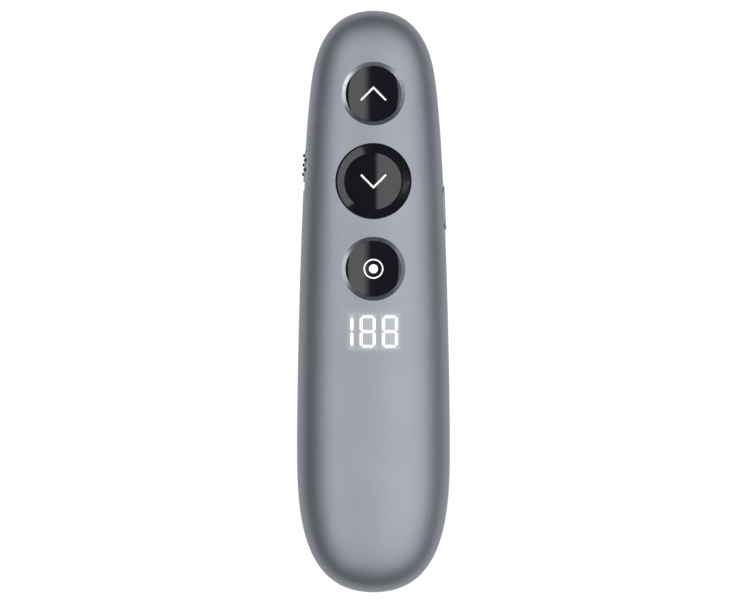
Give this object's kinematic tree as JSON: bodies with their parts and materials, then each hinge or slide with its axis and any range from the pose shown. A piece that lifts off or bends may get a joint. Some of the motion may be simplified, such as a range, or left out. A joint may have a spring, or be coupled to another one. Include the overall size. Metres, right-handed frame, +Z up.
{
  "type": "wireless presentation clicker",
  "caption": "Slim hand-held slide remote with round push caps, a side slide switch, a side key and a lit segment display.",
  "frame": {"origin": "middle of the footprint, on the flat underside", "axes": "+Z up, +Y towards the nose with the laser window, +X to the right seen from above"},
  "size_m": [0.0358, 0.136, 0.0181],
  "materials": {
    "upper_lacquer": "satin metallic lacquer, space grey",
    "lower_shell_plastic": "fine moulded satin",
    "cap_gloss": "polished black",
    "slider_plastic": "satin with black pips",
    "key_plastic": "satin",
    "light_guide": "milky, lit white",
    "display_resin": "black epoxy",
    "board_laminate": "solder mask over glass laminate",
    "switch_plastic": "moulded nylon",
    "plunger_plastic": "moulded acetal",
    "shield_sheet": "tinned sheet",
    "chip_resin": "moulded epoxy",
    "cell_pouch": "laminated foil",
    "cell_foam": "closed-cell foam",
    "socket_sheet": "rolled sheet",
    "laser_brass": "turned",
    "window_glass": "tinted, polished",
    "screw_steel": "black oxide"
  },
  "bodies": {
    "casing": {"upper_shell": "upper_lacquer", "lower_shell": "lower_shell_plastic", "previous_switch": "switch_plastic", "next_switch": "switch_plastic", "pointer_switch": "switch_plastic", "power_switch": "switch_plastic", "side_switch": "switch_plastic", "display_light_guide": "light_guide", "display_module": "display_resin", "main_board": "board_laminate", "radio_shield": "shield_sheet", "charge_controller": "chip_resin", "battery_cell": "cell_pouch", "battery_foam": "cell_foam", "charging_socket": "socket_sheet", "laser_module": "laser_brass", "laser_window": "window_glass", "front_left_screw": "screw_steel", "front_right_screw": "screw_steel", "rear_screw": "screw_steel"},
    "previous": {"previous_button": "cap_gloss", "previous_plunger": "plunger_plastic"},
    "next": {"next_button": "cap_gloss", "next_plunger": "plunger_plastic"},
    "pointer": {"pointer_button": "cap_gloss", "pointer_plunger": "plunger_plastic"},
    "power": {"power_slider": "slider_plastic", "power_lever": "plunger_plastic"},
    "side": {"side_key": "key_plastic", "side_plunger": "plunger_plastic"}
  },
  "joints": [
    {"name": "previous_press", "type": "slide", "parent": "casing", "child": "previous", "axis": [0, 0, -1], "range_m": [0, 0.0005], "stiffness_N_per_m": 1200},
    {"name": "next_press", "type": "slide", "parent": "casing", "child": "next", "axis": [0, 0, -1], "range_m": [0, 0.0005], "stiffness_N_per_m": 1200},
    {"name": "pointer_press", "type": "slide", "parent": "casing", "child": "pointer", "axis": [0, 0, -1], "range_m": [0, 0.0005], "stiffness_N_per_m": 1200},
    {"name": "power_slide", "type": "slide", "parent": "casing", "child": "power", "axis": [-0.0546, -0.9985, 0], "range_m": [0, 0.002]},
    {"name": "side_press", "type": "slide", "parent": "casing", "child": "side", "axis": [-0.9991, -0.0428, 0], "range_m": [0, 0.00035], "stiffness_N_per_m": 1200}
  ]
}
